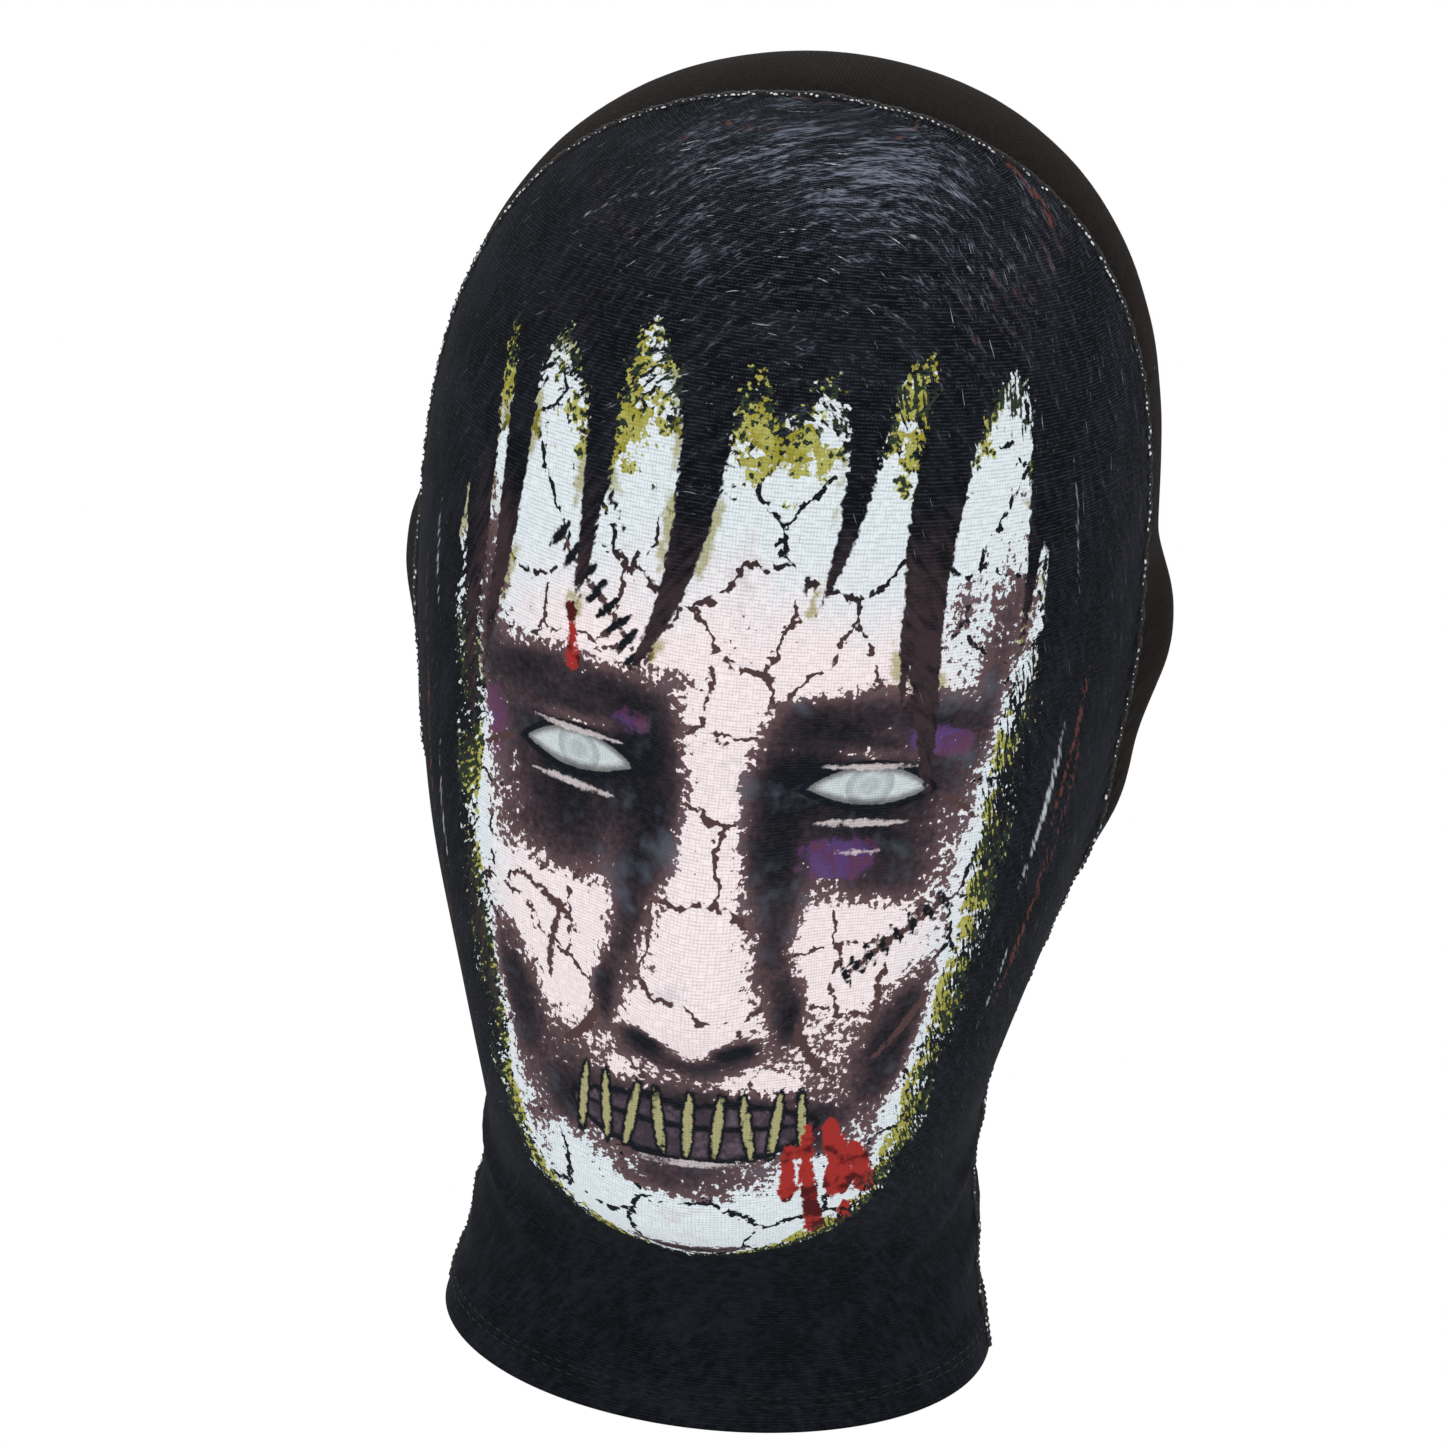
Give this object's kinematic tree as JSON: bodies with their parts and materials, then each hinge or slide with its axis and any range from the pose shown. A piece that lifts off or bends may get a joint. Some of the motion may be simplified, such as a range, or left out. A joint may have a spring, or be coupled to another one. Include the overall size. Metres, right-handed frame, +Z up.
{
  "type": "zombie mask",
  "caption": "Full-head hood mask of stretch fabric with a printed front panel, a plain black back panel and one overlocked seam over the crown.",
  "frame": {"origin": "inside of the crown, where the hood sits on the top of the head", "axes": "+Z up out of the crown, -Y the way the face looks, +X to the wearer's left"},
  "size_m": [0.165, 0.2161, 0.2812],
  "materials": {
    "printed_cloth": "matte printed knit",
    "black_cloth": "matte knit with a slight sheen",
    "seam_thread": "matte thread"
  },
  "bodies": {
    "root": {"front_panel": "printed_cloth", "back_panel": "black_cloth", "overlock_seam": "seam_thread"}
  },
  "joints": []
}
